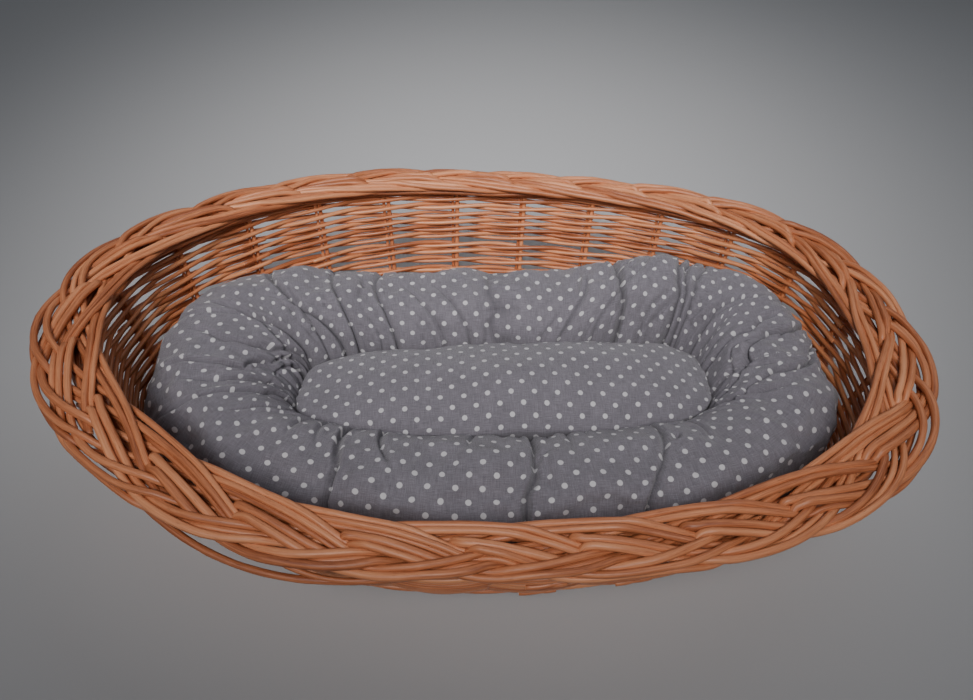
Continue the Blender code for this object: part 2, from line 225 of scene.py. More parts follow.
class Rods:
    """Collects tubes into one mesh with rod coordinates on its points."""

    def __init__(self):
        self.points = []
        self.faces = []
        self.coords = []
        self.count = 0

    def add(self, path, radius, sides=8, closed=False, tone=0.5, flat=1.0):
        """A rod along a path. radius is one number or one per point."""
        path = np.asarray(path, float)
        n = len(path)
        radius = np.broadcast_to(np.asarray(radius, float), (n,)).copy()
        if closed:
            tangent = np.roll(path, -1, 0) - np.roll(path, 1, 0)
        else:
            tangent = np.gradient(path, axis=0)
        tangent /= np.linalg.norm(tangent, axis=1)[:, None] + 1e-12
        side = np.cross(tangent, UP)
        weak = np.linalg.norm(side, axis=1) < 0.25
        if weak.any():
            side = np.empty_like(tangent)
            s = np.cross(tangent[0], UP)
            if np.linalg.norm(s) < 0.25:
                s = np.cross(tangent[0], [1.0, 0.3, 0.0])
            for i in range(n):
                s = s - tangent[i] * np.dot(s, tangent[i])
                s = s / np.linalg.norm(s)
                side[i] = s
        side /= np.linalg.norm(side, axis=1)[:, None]
        over = np.cross(side, tangent)
        length = lengths_along(path)
        # knots swell a rod a little where side shoots were trimmed off
        for _ in range(int(length[-1] / KNOT_SPACING + rng.random())):
            at = rng.random() * length[-1]
            radius *= 1.0 + rng.uniform(0.03, 0.09) * np.exp(-((length - at) / 0.006) ** 2)
        wave = rng.uniform(0, TAU)
        radius *= 1.0 + 0.025 * np.sin(length * 71.0 + wave) + 0.018 * np.sin(length * 173.0 + 2.3 * wave)
        turn = TAU * np.arange(sides) / sides
        ring = (
            path[:, None, :]
            + side[:, None, :] * (radius[:, None] * np.cos(turn)[None])[..., None]
            + over[:, None, :] * (radius[:, None] * flat * np.sin(turn)[None])[..., None]
        )
        base = self.count
        offset = rng.uniform(0.0, 40.0)
        pts = ring.reshape(-1, 3)
        tones = np.full(n * sides, tone)
        crd = np.stack([np.repeat(length + offset, sides), np.tile(turn / TAU, n), tones], -1)
        idx = base + np.arange(n * sides).reshape(n, sides)
        nxt = np.roll(idx, -1, 1)
        rows = n if closed else n - 1
        quads = np.stack([np.roll(idx, -1, 0), np.roll(nxt, -1, 0), nxt, idx], -1)[:rows]
        self.faces.extend(quads.reshape(-1, 4).tolist())
        self.count += n * sides
        if not closed:
            # cut ends: a narrow bevel ring and a flat pale face
            for end, ids, way in ((0, idx[0], -1), (n - 1, idx[-1], 1)):
                cap = path[end] + (ring[end] - path[end]) * 0.82 + tangent[end] * way * radius[end] * 0.16
                pts = np.vstack([pts, cap])
                marks = (np.full(sides, length[end] + offset), turn / TAU, np.full(sides, tone + CUT_MARK))
                crd = np.vstack([crd, np.stack(marks, -1)])
                new = self.count + np.arange(sides)
                self.count += sides
                bevel = np.stack([new, np.roll(new, -1), np.roll(ids, -1), ids], -1)
                self.faces.extend(bevel[:, ::way].tolist())
                self.faces.append(new[::-way].tolist())
        self.points.append(pts)
        self.coords.append(crd)

    def make(self, name, mat):
        """The collected tubes as one object."""
        obj = smooth_object(name, np.vstack(self.points), self.faces, "rod", np.vstack(self.coords), mat)
        obj.data.set_sharp_from_angle(angle=math.radians(50))
        return obj


def rod_tone():
    """How dark a rod is, 0 pale to 1 dark: most are alike and a few stand out."""
    return float(np.clip(rng.normal(0.46, 0.17), 0.02, 0.98))


# ---- materials


class Shade:
    """A material's node tree, with short ways to add nodes to it."""

    def __init__(self, name):
        self.mat = bpy.data.materials.new(name)
        self.mat.use_nodes = True
        self.tree = self.mat.node_tree
        self.shader = self.tree.nodes["Principled BSDF"]

    def feed(self, socket, value):
        """Set a socket to a number or a colour, or link an output to it."""
        if isinstance(value, (int, float)):
            socket.default_value = value
        elif isinstance(value, tuple):
            socket.default_value = (*value, 1.0)
        else:
            self.tree.links.new(value, socket)

    def add(self, kind, inputs):
        n = self.tree.nodes.new("ShaderNode" + kind)
        for key, value in inputs.items():
            self.feed(n.inputs[key], value)
        return n

    def dress(self, inputs):
        for key, value in inputs.items():
            self.feed(self.shader.inputs[key], value)

    def math(self, op, *values):
        n = self.add("Math", dict(enumerate(values)))
        n.operation = op
        return n.outputs[0]

    def about_half(self, value, amount, base):
        """base plus amount times how far a value is from one half."""
        return self.math("MULTIPLY_ADD", self.math("SUBTRACT", value, 0.5), amount, base)

    def vector(self, *values):
        return self.add("CombineXYZ", dict(enumerate(values))).outputs[0]

    def noise(self, vector, scale, detail, rough=0.5):
        inputs = {"Vector": vector, "Scale": scale, "Detail": detail, "Roughness": rough}
        return self.add("TexNoise", inputs).outputs["Fac"]

    def ramp(self, source, stops):
        """Colour ramp. A stop's value is a colour or one grey number."""
        r = self.add("ValToRGB", {0: source})
        els = r.color_ramp.elements
        while len(els) < len(stops):
            els.new(0.5)
        for el, (pos, value) in zip(els, stops):
            el.position = pos
            el.color = (*value, 1.0) if isinstance(value, tuple) else (value, value, value, 1.0)
        return r.outputs[0]

    def mix(self, share, a, b):
        n = self.tree.nodes.new("ShaderNodeMix")
        n.data_type = "RGBA"
        for i, value in ((0, share), (6, a), (7, b)):
            self.feed(n.inputs[i], value)
        return n.outputs[2]

    def point_values(self, name):
        """A point attribute of three numbers: whole, then each number."""
        n = self.add("Attribute", {})
        n.attribute_name = name
        whole = n.outputs["Vector"]
        return whole, *self.add("SeparateXYZ", {0: whole}).outputs

    def bump(self, height, strength, distance):
        n = self.add("Bump", {"Strength": strength, "Distance": distance, "Height": height})
        self.feed(self.shader.inputs["Normal"], n.outputs[0])


def scaled(colour, factor):
    return tuple(min(1.0, factor * c) for c in colour)


def willow(name, pale, body, deep, rough=0.46, coat=0.14):
    """Buffed willow under thin varnish: long streaks, specks, knots, and pale cut ends."""
    s = Shade(name)
    _, along, around, tone_raw = s.point_values("rod")
    is_cut = s.math("GREATER_THAN", tone_raw, 1.5)
    tone = s.math("SUBTRACT", tone_raw, s.math("MULTIPLY", is_cut, CUT_MARK))
    turn = s.math("MULTIPLY", around, TAU)
    ring = (s.math("COSINE", turn), s.math("SINE", turn))

    def coords(along_scale, ring_scale, shift):
        across = (s.math("MULTIPLY", part, ring_scale) for part in ring)
        return s.vector(s.math("MULTIPLY_ADD", along, along_scale, shift), *across)

    streak = s.noise(coords(14.0, 1.6, 0.0), 1.6, 4.0, 0.62)
    slow = s.noise(coords(9.0, 0.35, 7.0), 1.0, 2.0)
    grain = s.noise(coords(60.0, 5.0, 3.0), 1.8, 5.0, 0.65)
    shade = s.about_half(streak, 1.5, tone)
    shade = s.about_half(slow, 1.2, shade)
    shade = s.about_half(grain, 0.9, shade)
    colour = s.ramp(shade, [(0.0, pale), (0.5, body), (1.0, deep)])
    speck = s.add("TexVoronoi", {"Scale": 1.0, "Vector": coords(46.0, 1.5, 11.0)})
    knots = s.ramp(speck.outputs["Distance"], [(0.02, 1.0), (0.13, 0.0)])
    colour = s.mix(s.math("MULTIPLY", knots, 0.55), colour, scaled(deep, 0.30))
    colour = s.mix(is_cut, colour, scaled(pale, 1.25))
    s.dress({
        "Base Color": colour,
        "Roughness": s.math("MULTIPLY_ADD", grain, 0.22, rough - 0.09),
        "Coat Weight": coat,
        "Coat Roughness": 0.30,
        "Specular IOR Level": 0.45,
    })
    height = s.math("MULTIPLY_ADD", streak, 0.6, s.math("MULTIPLY", grain, 0.5))
    s.bump(s.math("MULTIPLY_ADD", knots, 0.7, height), 0.35, 0.0006)
    return s.mat


def cotton(name, body, dot, dots=True):
    """Plain-woven printed cotton, with painted shade in its creases. The dots follow the cloth's own
    coordinates, in metres.
    """
    s = Shade(name)
    # the cloth's third number, dark, is painted shade for its creases, seams and the pad's low edge
    place, u, v, dark = s.point_values("cloth")
    warp = s.math("SINE", s.math("MULTIPLY", u, TAU / THREAD_PITCH))
    weft = s.math("SINE", s.math("MULTIPLY", v, TAU / THREAD_PITCH))
    weave = s.math("MULTIPLY", warp, weft)
    blotch = s.noise(place, 26.0, 3.0)
    fuzz = s.noise(place, 900.0, 2.0)

    def slub(u_scale, v_scale):
        return s.noise(s.vector(s.math("MULTIPLY", u, u_scale), s.math("MULTIPLY", v, v_scale)), 1.0, 3.0)

    slub_weft = slub(90.0, 1600.0)
    tint = s.about_half(blotch, 0.45, 0.5)
    tint = s.about_half(slub_weft, 1.40, tint)
    tint = s.about_half(slub(1300.0, 80.0), 1.2, tint)
    tint = s.about_half(fuzz, 0.60, tint)
    colour = s.ramp(tint, [(0.10, scaled(body, 0.70)), (0.5, body), (0.9, scaled(body, 1.35))])
    if dots:

        def from_dot(shift):
            """Distance to the nearest dot of a square lattice, in pitches."""
            offsets = (
                s.math("SUBTRACT", s.math("FRACT", s.math("MULTIPLY_ADD", part, 1 / DOT_PITCH, shift)), 0.5)
                for part in (u, v)
            )
            return s.math("SQRT", s.math("ADD", *(s.math("MULTIPLY", part, part) for part in offsets)))

        near = s.math("MINIMUM", from_dot(0.0), from_dot(0.5))
        mask = s.ramp(s.about_half(fuzz, 0.03, near), [(0.102, 1.0), (0.118, 0.0)])
        printed = s.mix(s.math("MULTIPLY_ADD", weave, 0.05, 0.06), dot, body)
        colour = s.mix(s.math("MULTIPLY", mask, 0.93), colour, printed)
    # painted shade: creases, seams and the pad's tucked edge are darkened towards a deep tone of the body
    # colour
    colour = s.mix(s.math("MULTIPLY", dark, 0.72), colour, scaled(body, 0.16))
    s.dress({
        "Base Color": colour,
        "Roughness": 0.86,
        "Specular IOR Level": 0.25,
        "Sheen Weight": 0.22,
        "Sheen Roughness": 0.5,
    })
    s.bump(s.math("MULTIPLY_ADD", weave, 0.5, s.math("MULTIPLY", slub_weft, 0.9)), 0.55, 0.0005)
    return s.mat


PALE = (0.720, 0.305, 0.148)
BODY = (0.535, 0.186, 0.078)
DEEP = (0.270, 0.074, 0.027)
WILLOW = willow("willow_rods", PALE, BODY, DEEP)
WILLOW_WALL = willow(
    "willow_weave", (0.74, 0.305, 0.140), (0.57, 0.192, 0.078), (0.32, 0.084, 0.028), 0.38, 0.3
)
STICK = willow("stick_wood", (0.56, 0.27, 0.13), (0.42, 0.175, 0.075), (0.24, 0.085, 0.032), 0.5, 0.12)
COTTON = cotton("dotted_cotton_print", (0.190, 0.176, 0.203), (0.70, 0.68, 0.70))
LINING = cotton("plain_cotton_lining", (0.150, 0.142, 0.156), (0.6, 0.6, 0.6), dots=False)

# ---- wall

ROD_RADIUS = 0.00272
STAKE_RADIUS = 0.00275
BYE_RADIUS = 0.0019
REACH = 0.0046
LIFT = 0.0027
FIRST_ROW = 0.150
ROW_PITCH = 0.0640


def wall_point(station, share, reach, lift):
    """Points off the leaning wall's middle surface by reach outward and lift up the slope."""
    p, out, _ = wall_frame(station, share)
    depth = (1.0 - share) * WALL_DEPTH
    ends = LEAN_ENDS[0] + 2.0 * LEAN_ENDS[1] * depth
    steepening = LEAN_SIDES[1] + FRONT_DRAW * front_share(angle_at(station))
    sides = LEAN_SIDES[0] + 2.0 * steepening * depth
    slope = np.arctan(ends * out[..., 0] ** 2 + sides * out[..., 1] ** 2)[..., None]
    normal = out * np.cos(slope) - UP * np.sin(slope)
    rise = UP * np.cos(slope) + out * np.sin(slope)
    return p + normal * np.asarray(reach)[..., None] + rise * np.asarray(lift)[..., None]


def low_wave(scale):
    """A slow closed random wave along the rim, in metres."""
    a = rng.normal(0.0, scale, 5)
    ph = rng.uniform(0, TAU, 5)
    return lambda s: sum(a[k] / (k + 1.5) * np.sin(TAU * (k + 2) * s / STAKES + ph[k]) for k in range(5))


def pair_row(rods, share, lift_scale=1.0):
    """Two weavers that cross between the stakes and pass either side of each."""
    wander = low_wave(0.0007)
    order = rng.integers(0, 2)
    for m in range(2):
        breaks = np.sort(rng.uniform(0, STAKES, 2))
        if breaks[1] - breaks[0] < 6:
            breaks[1] = breaks[0] + 9
        for a, b in ((breaks[0], breaks[1]), (breaks[1], breaks[0] + STAKES)):
            a = math.floor(a) + STAKE_PHASE - 0.16
            b = math.floor(b) + STAKE_PHASE + 0.22
            s = np.linspace(a, b, int((b - a) * 18))
            phi = math.pi * (s - STAKE_PHASE) + math.pi * (m + order)
            c = np.cos(phi)
            reach = REACH * signed_power(c, 0.9)
            ends = np.exp(-((s - a) / 0.25) ** 2) + np.exp(-((s - b) / 0.25) ** 2)
            reach = reach + np.sign(c) * ends * 0.0022
            lift = LIFT * lift_scale * np.sin(phi) + wander(s) + rng.normal(0, 0.0003)
            r = ROD_RADIUS * rng.uniform(0.86, 1.14) * np.linspace(1.06, 0.90, len(s))
            rods.add(wall_point(s, share, reach, lift), r, 8, tone=rod_tone())


def wale_row(rods, share, radius, reach=0.0050, lift=0.0021):
    """Three weavers twisted like a rope: each passes outside two stakes and inside one."""
    wander = low_wave(0.0005)
    for m in range(3):
        a = float(rng.integers(0, STAKES)) + STAKE_PHASE + 0.3
        s = np.linspace(a, a + STAKES + 0.4, int(STAKES * 16))
        turn = TAU * (s - STAKE_PHASE - m) / 3.0
        r = (0.20 - np.cos(turn)) * reach * 0.85
        up = np.sin(turn) * lift + wander(s)
        rods.add(wall_point(s, share, r, up), radius * rng.uniform(0.9, 1.12), 8, tone=rod_tone())


def bands():
    """The four bands of weaving, each with its own rows."""
    upsett, lower, upper, top = (Rods() for _ in range(4))
    for share in (0.012, 0.048, 0.086):
        wale_row(upsett, share, 0.0027)
    rows = [FIRST_ROW + ROW_PITCH * i for i in range(12)]
    for i, share in enumerate(rows[:-1]):
        pair_row(lower if i < 5 else upper, share + rng.normal(0, 0.004))
    pair_row(top, rows[-1] - 0.002, 0.8)
    for share in (0.898, 0.926):
        wale_row(top, share, 0.0022, lift=0.0014)
    groups = {"wale_upsett": upsett, "weave_lower": lower, "weave_upper": upper, "wale_top": top}
    for cad, rods in groups.items():
        obj = rods.make("wall_" + cad, WILLOW_WALL)
        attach(obj, "basket")
        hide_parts(cad)


def stakes():
    """Stake pairs: a light main rod with a thinner bye-stake beside it."""
    for i in range(STAKES):
        s = i + STAKE_PHASE
        rods = Rods()
        shares = np.linspace(0.03, 0.97, 12)
        for shift, radius, top, tone in (
            (-0.0012, STAKE_RADIUS, 0.965, rng.uniform(0.15, 0.5)),
            (0.0042, BYE_RADIUS, rng.uniform(0.90, 0.94), rng.uniform(0.45, 0.9)),
        ):
            foot, out, along = (a[0] for a in wall_frame(np.array([s]), 0.0))
            level = FOOT_LEVEL - foot[2]
            path = [foot - out * inset + UP * level for inset in (STAKE_FOOT_INSET, 0.028, 0.010)]
            path.append(foot - out * 0.003 + UP * (level + 0.0016))
            p, _, _ = wall_frame(np.full(12, s), shares * top)
            path = np.vstack([path, p[p[:, 2] > foot[2] + 0.002]])
            sway = rng.normal(0, 0.0006, 2)
            k = np.linspace(0, 1, len(path))[:, None]
            path = path + along * (shift + sway[0] * np.sin(k * 5) + sway[1] * k)
            rods.add(resample(path, 0.006), radius * rng.uniform(0.93, 1.07), 8, tone=float(tone))
        obj = rods.make(f"stake_pair_{i + 1:02d}", WILLOW_WALL)
        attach(obj, "basket")
        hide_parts(f"stake_{i + 1:02d}")


# ---- plaited border

# Path of a group's rods: stations after the kink, place across the band for the inner and the
# outer rod (0 inner edge, 1 outer edge), level.
RISE = ((-0.27, 0.47, 0.52, -4.3), (-0.20, 0.46, 0.52, -3.0), (-0.09, 0.40, 0.50, -1.3))
KINK = ((0.00, 0.36, 0.50, 0.6), (0.10, 0.40, 0.54, 0.95), (0.30, 0.46, 0.61, 0.9))
UNDER = ((0.58, 0.57, 0.74, 0.0), (0.85, 0.70, 0.88, -0.8), (1.12, 0.84, 0.97, -0.5))
OUTSIDE = ((1.35, 0.885, 1.0, 0.4), (1.60, 0.865, 1.0, 0.9), (1.87, 0.76, 0.96, 0.95))
OVER = ((2.12, 0.59, 0.85, 0.5),)
INWARD = ((2.35, 0.44, 0.69, -0.4), (2.70, 0.26, 0.47, -0.9), (3.05, 0.10, 0.27, -0.6))
INSIDE = ((3.35, 0.02, 0.15, 0.3), (3.70, 0.0, 0.12, 0.9), (4.05, 0.02, 0.14, 1.0), (4.40, 0.10, 0.22, 0.95))
TAIL = ((4.68, 0.26, 0.38, 0.5), (4.92, 0.44, 0.56, -0.5), (5.15, 0.56, 0.68, -1.1))
LEVEL = 0.0040
THIRD_ROD_SHARE = 0.75
BORDER_TURNS = 40
BORDER_BUTT = 0.00365
BORDER_TIP = 0.00300


def border_point(station, w, level):
    """Points of the border: across the band from its inner to its outer edge."""
    p, out, _ = wall_frame(station, 1.0)
    t = angle_at(station)
    ends = np.cos(t) ** 2
    back = np.maximum(0.0, np.sin(t)) ** 2
    front = np.maximum(0.0, -np.sin(t)) ** 14
    width = BAND_WIDTH_SIDES + (BAND_WIDTH_ENDS - BAND_WIDTH_SIDES) * ends - BAND_NARROWING * back
    width = width - BAND_NARROWING * front
    across = (np.asarray(w) - 0.5) * width
    # the band leans: down on the outside at the front, up on the outside at the back
    tilt = np.where(np.sin(t) < 0, -0.10, -0.03) * np.sin(t) + 0.01
    bow = -0.0025 * (2.0 * (np.asarray(w) - 0.5)) ** 2
    corner = 0.0045 * np.abs(np.sin(2.0 * t)) + 0.003 * ends - 0.0055 * front
    z = np.asarray(level) * LEVEL - tilt * across + bow
    return p + out * (across + corner)[..., None] + UP * z[..., None]


def border_paths():
    """Centre lines of the border's rods, pushed apart until they lie on one another."""
    control = np.array(RISE + KINK + UNDER + OUTSIDE + OVER + INWARD + INSIDE + TAIL)
    paths = []
    size = []
    count = 84
    even = np.linspace(0, 1, count)
    for j in range(STAKES):
        shift_w = rng.normal(0, 0.010)
        start = j + KINK_PHASE + rng.normal(0, 0.035)
        # place between the inner and the outer rod, sideways delay, drop and size of each rod
        group = [(0.0, 0.0, 0.0, 1.0), (1.0, 0.075, 0.0, 1.0)]
        if rng.random() < THIRD_ROD_SHARE:
            group.append((float(rng.choice([0.5, 1.5])), 0.04, -0.9, 0.82))
        for place, late, drop, scale in group:
            station = control[:, 0] + rng.normal(0, 0.015) + late * (control[:, 0] > -0.2)
            w = control[:, 1] + (control[:, 2] - control[:, 1]) * place
            w = np.clip(w + shift_w + rng.normal(0, 0.008, len(w)), 0.0, 1.0)
            level = control[:, 3] + drop + rng.normal(0, 0.08, len(w))
            fine = resample(border_point(start + station, w, level), 0.003)
            length = np.linspace(0, 1, len(fine))
            paths.append(np.stack([np.interp(even, length, fine[:, k]) for k in range(3)], -1))
            size.append(scale * rng.uniform(0.92, 1.10))
    paths = np.array(paths)
    radius = np.linspace(BORDER_BUTT, BORDER_TIP, count)[None] * np.array(size)[:, None]
    target = paths.copy()
    n = len(paths)
    flat = np.array([0.60, 0.60, 1.35])
    for _ in range(BORDER_TURNS):
        push = np.zeros_like(paths)
        for d in range(1, 16):
            for k in range(n):
                m = (k + d) % n
                diff = paths[k][:, None, :] - paths[m][None, :, :]
                dist2 = np.einsum("abc,abc->ab", diff, diff)
                need = (radius[k][:, None] + radius[m][None]) * 0.985
                a, b = np.nonzero(dist2 < need * need)
                if not len(a):
                    continue
                dist = np.sqrt(dist2[a, b]) + 1e-9
                move = diff[a, b] * (0.28 * (need[a, b] - dist) / dist)[:, None] * flat
                np.add.at(push[k], a, move)
                np.add.at(push[m], b, -move)
        size_push = np.linalg.norm(push, axis=2, keepdims=True)
        push *= np.minimum(1.0, 0.0016 / (size_push + 1e-9))
        paths = paths + push
        bend = np.zeros_like(paths)
        bend[:, 1:-1] = 0.5 * (paths[:, :-2] + paths[:, 2:]) - paths[:, 1:-1]
        stiff = np.full((1, count, 1), 0.28)
        stiff[:, 3:8] = 0.04
        paths = paths + bend * stiff + (target - paths) * 0.02
    return paths, radius


# Stray rods under the outer edge: first and last station, place across, level, radius.
STRAYS = (
    (14.5, 17.3, (0.84, 1.04), (-2.2, -3.9), 0.0034),
    (15.9, 17.2, (0.80, 0.98), (-2.2, -3.0), 0.0026),
)
# Long rods underneath: place across the band and level, and how many stations each one spans.
UNDERLAY = ((0.14, -1.6), (0.31, -1.7), (0.48, -1.8), (0.64, -1.6), (0.79, -1.3))
UNDERLAY_SPAN = 8.6


def border():
    """The plait's rods shared out over three pieces, with long rods underneath and two strays."""
    paths, radius = border_paths()
    names = ("a", "b", "c")
    sets = [Rods() for _ in names]
    for k in range(len(paths)):
        rods = sets[(k // 2) % 3]
        fine = resample(paths[k], 0.0032)
        r = np.interp(np.linspace(0, 1, len(fine)), np.linspace(0, 1, radius.shape[1]), radius[k])
        rods.add(fine, r, 12, tone=rod_tone())
    # long rods laid along the band underneath
    for lane, (place, drop) in enumerate(UNDERLAY):
        for part in range(3):
            first = part * 8 + lane * 2.7 + rng.uniform(-0.6, 0.6)
            s = np.linspace(first, first + UNDERLAY_SPAN, 110)
            wander = 0.05 * np.sin(s * 1.7 + lane) + 0.02 * np.sin(s * 4.1 + part)
            sink = drop - 0.3 * np.sin((s - first) / UNDERLAY_SPAN * math.pi)
            pts = border_point(s, place + wander, sink)
            sets[part].add(pts, np.linspace(0.0031, 0.0025, len(s)), 8, tone=float(rng.uniform(0.6, 0.95)))
    # stray rods that show below the outer edge
    for first, last, w, level, thin in STRAYS:
        s = np.linspace(first, last, 14)
        k = np.linspace(0, 1, 14)
        hang = np.sin(k * math.pi)
        pts = border_point(s, w[0] + (w[1] - w[0]) * hang, level[0] + (level[1] - level[0]) * hang)
        fine = resample(pts, 0.004)
        sets[int(first) % 3].add(fine, np.linspace(thin, thin * 0.8, len(fine)), 10, tone=0.75)
    for rods, name in zip(sets, names):
        obj = rods.make("border_plait_" + name, WILLOW)
        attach(obj, "basket")
        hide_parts("border_strand_" + name)


# ---- base


def base():
    """Woven base: rounds of rod over and under the cross sticks."""
    s = np.linspace(0, STAKES, 241)[:-1]
    foot, out, _ = wall_frame(s, 0.0)
    edge = foot - out * (BASE_EDGE_INSET + 0.0022)
    x_last = CROSS_STICKS // 2 * CROSS_SPACING
    rods = Rods()
    core_x = np.clip(edge[:, 0] - PLAN_SHIFT[0], -0.9 * x_last, 0.9 * x_last) + PLAN_SHIFT[0]
    core = np.stack([core_x, np.clip(edge[:, 1], -CORE_HALF_WIDTH, CORE_HALF_WIDTH)], -1)
    for k in range(BASE_ROUNDS):
        share = k / (BASE_ROUNDS - 1.0)
        xy = core * (1 - share) + edge[:, :2] * share
        x = xy[:, 0] - PLAN_SHIFT[0]
        y = xy[:, 1]
        over = np.maximum(np.abs(x) - x_last, 0.0)
        theta = np.arctan2(np.abs(y), over + 1e-6)
        # the weave turns round the last cross stick in steps of 30 degrees
        end_phase = math.pi * (CROSS_STICKS // 2) + math.pi * (math.pi / 2 - theta) / (math.pi / 6)
        phase = np.where(np.abs(x) < x_last, math.pi * np.abs(x) / CROSS_SPACING, end_phase)
        z = 0.0079 + 0.0042 * np.cos(phase + math.pi * k)
        z = np.where((np.abs(x) < x_last) | (share > 0.2), z, 0.0079)
        rods.add(np.column_stack([xy, z]), 0.0026 * rng.uniform(0.92, 1.06), 8, closed=True, tone=rod_tone())
    obj = rods.make("base_woven_rods", WILLOW_WALL)
    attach(obj, "basket")
    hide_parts("base_weave")
    for kind, count in (("cross", CROSS_STICKS), ("long", 3)):
        for i in range(count):
            cad = f"base_stick_{kind}_{i + 1}"
            low, high = np.array(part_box(cad))
            mid = (low + high) / 2
            half = (high - low) / 2
            axis = 1 if kind == "cross" else 0
            side = 1 - axis
            drawn = 0.0
            if kind == "cross":
                drawn = FRONT_DRAW * WALL_DEPTH ** 2 * max(0.0, 1.0 - (mid[0] / RIM_HALF_LENGTH) ** 2) ** 2.5
            span = np.linspace(drawn - half[axis], half[axis], 40)
            path = np.repeat(mid[None], len(span), 0)
            path[:, axis] += span
            path[:, side] += 0.0004 * np.sin(span * 19 + i)
            rods = Rods()
            rods.add(path, half[side] * 0.97, 12, tone=rod_tone(), flat=half[2] / half[side])
            obj = rods.make(f"base_{kind}_rod_{i + 1}", STICK)
            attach(obj, "basket")
            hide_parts(cad)


# ---- cushion


def grid_faces(rows, cols, close_rows=True):
    """Quads of a grid of points whose columns, and rows too unless told otherwise, close on themselves."""
    idx = np.arange(rows * cols).reshape(rows, cols)
    b = np.roll(idx, -1, 1)
    quads = np.stack([idx, b, np.roll(b, -1, 0), np.roll(idx, -1, 0)], -1)
    if not close_rows:
        quads = quads[:-1]
    return quads.reshape(-1, 4).tolist()


def capped_faces(rows, cols):
    """Faces of a tube of rows with a lid at each end."""
    first = list(range(cols))
    last = [(rows - 1) * cols + v for v in first]
    return grid_faces(rows, cols, close_rows=False) + [first[::-1], last]


def outline(t, centre, half_lengths, half_widths, powers, slope):
    """Outline whose halves differ: lengths to left and right, widths to back and front, four powers."""
    c = np.cos(t)
    s = np.sin(t)
    power = np.where(s > 0, np.where(c < 0, powers[0], powers[1]), np.where(c < 0, powers[2], powers[3]))
    x = np.where(c < 0, *half_lengths) * signed_power(c, 2.0 / power)
    y = np.where(s > 0, *half_widths) * signed_power(s, 2.0 / power)
    return np.stack([centre[0] + x, centre[1] + y + slope * x], -1)


def fine_angles():
    """Angles once round, close together where a superellipse turns from side to end."""
    u = np.linspace(0, TAU, 7201)
    return u - 0.245 * np.sin(4 * u)


def even_angles(line, n):
    """Angles of n points evenly spaced along a closed line sampled at fine_angles."""
    length = lengths_along(line)
    return np.interp(np.arange(n) / n * length[-1], length, fine_angles())


def same_x(at):
    """Angle on the ring's inner outline at the x that the seams' own outline has at an angle."""
    c = math.cos(at)
    s = math.sin(at)
    powers = RING_INNER[3]
    power = powers[(0 if c < 0 else 1) + (0 if s > 0 else 2)]
    new = abs(c) ** (power / SEAM_POWER)
    turned = math.atan2(math.copysign(math.sqrt(1 - new * new), s), math.copysign(new, c))
    return at + (turned - at + math.pi) % TAU - math.pi


def read_between(field, fu, fv, ease=False):
    """A field that is periodic both ways, read between its cells."""

    def at(a, b):
        return field[np.mod(a, field.shape[0]), np.mod(b, field.shape[1])]

    iu = np.floor(fu).astype(int)
    iv = np.floor(fv).astype(int)
    du = fu - iu
    dv = fv - iv
    if ease:
        du = du * du * (3 - 2 * du)
        dv = dv * dv * (3 - 2 * dv)
    low = at(iu, iv) * (1 - du) + at(iu + 1, iv) * du
    high = at(iu, iv + 1) * (1 - du) + at(iu + 1, iv + 1) * du
    return low * (1 - dv) + high * dv


def lattice_noise(fu, fv, cells_u, cells_v, seed):
    """Smooth random field over a lattice of cells that repeats both ways, about -1 to 1."""
    grid = np.random.default_rng(seed).normal(0, 0.6, (cells_u, cells_v))
    return read_between(grid, fu, fv, ease=True)


def value_noise(x, y, cell, seed):
    """Smooth random field over the plane with features of a cell's size."""
    return lattice_noise(x / cell + 31.0, y / cell + 31.0, 64, 64, seed)


def loop_noise(u, v, cells_u, cells_v, seed):
    """Smooth random field, periodic in both directions of the unit square."""
    return lattice_noise(np.mod(u, 1.0) * cells_u, np.mod(v, 1.0) * cells_v, cells_u, cells_v, seed)


# Cross seams of the ring. A path goes outwards: degrees round the ring and place across, point by
# point. Then depth and width in millimetres.
SEAMS = (
    ((273.3, 0, 272, 0.5, 271.6, 1), 11.5, 2.4),
    ((231, 0, 243, 0.55, 247.5, 1), 9.5, 2.2),
    ((305, 0, 297, 0.4, 290.6, 0.65, 286.8, 1), 6, 2.4),
    ((58, 0, 63.8, 0.13, 69, 0.28, 74.3, 0.46, 81.5, 1), 9.5, 2.4),
    ((89.9, 0, 89.9, 1), 3, 2.8),
    ((38, 0, 43.9, 0.16, 50.5, 0.29, 58.2, 0.51, 66.5, 1), 8.5, 2.2),
    ((34, 0, 40.5, 0.14, 48.1, 0.3, 56.1, 0.53, 62.5, 1), 6, 2.2),
    ((31, 0, 38.5, 0.17, 47.5, 0.39, 58.5, 1), 4.8, 2),
    ((343, 0, 359, 0.12, 361, 0.23, 363.2, 0.4, 363.8, 0.63, 369, 1), 8.5, 2.4),
    ((330, 0, 339.1, 0.12, 348, 0.18, 353, 0.31, 355.7, 0.49, 364, 1), 8, 2.4),
    ((139, 0, 142, 0.2, 142, 0.27, 134.7, 0.59, 123, 1), 6.2, 2.2),
    ((133, 0, 110.8, 0.75, 107, 1), 5.5, 2.2),
    ((118, 0, 101.5, 0.75, 99, 1), 5, 2.2),
)
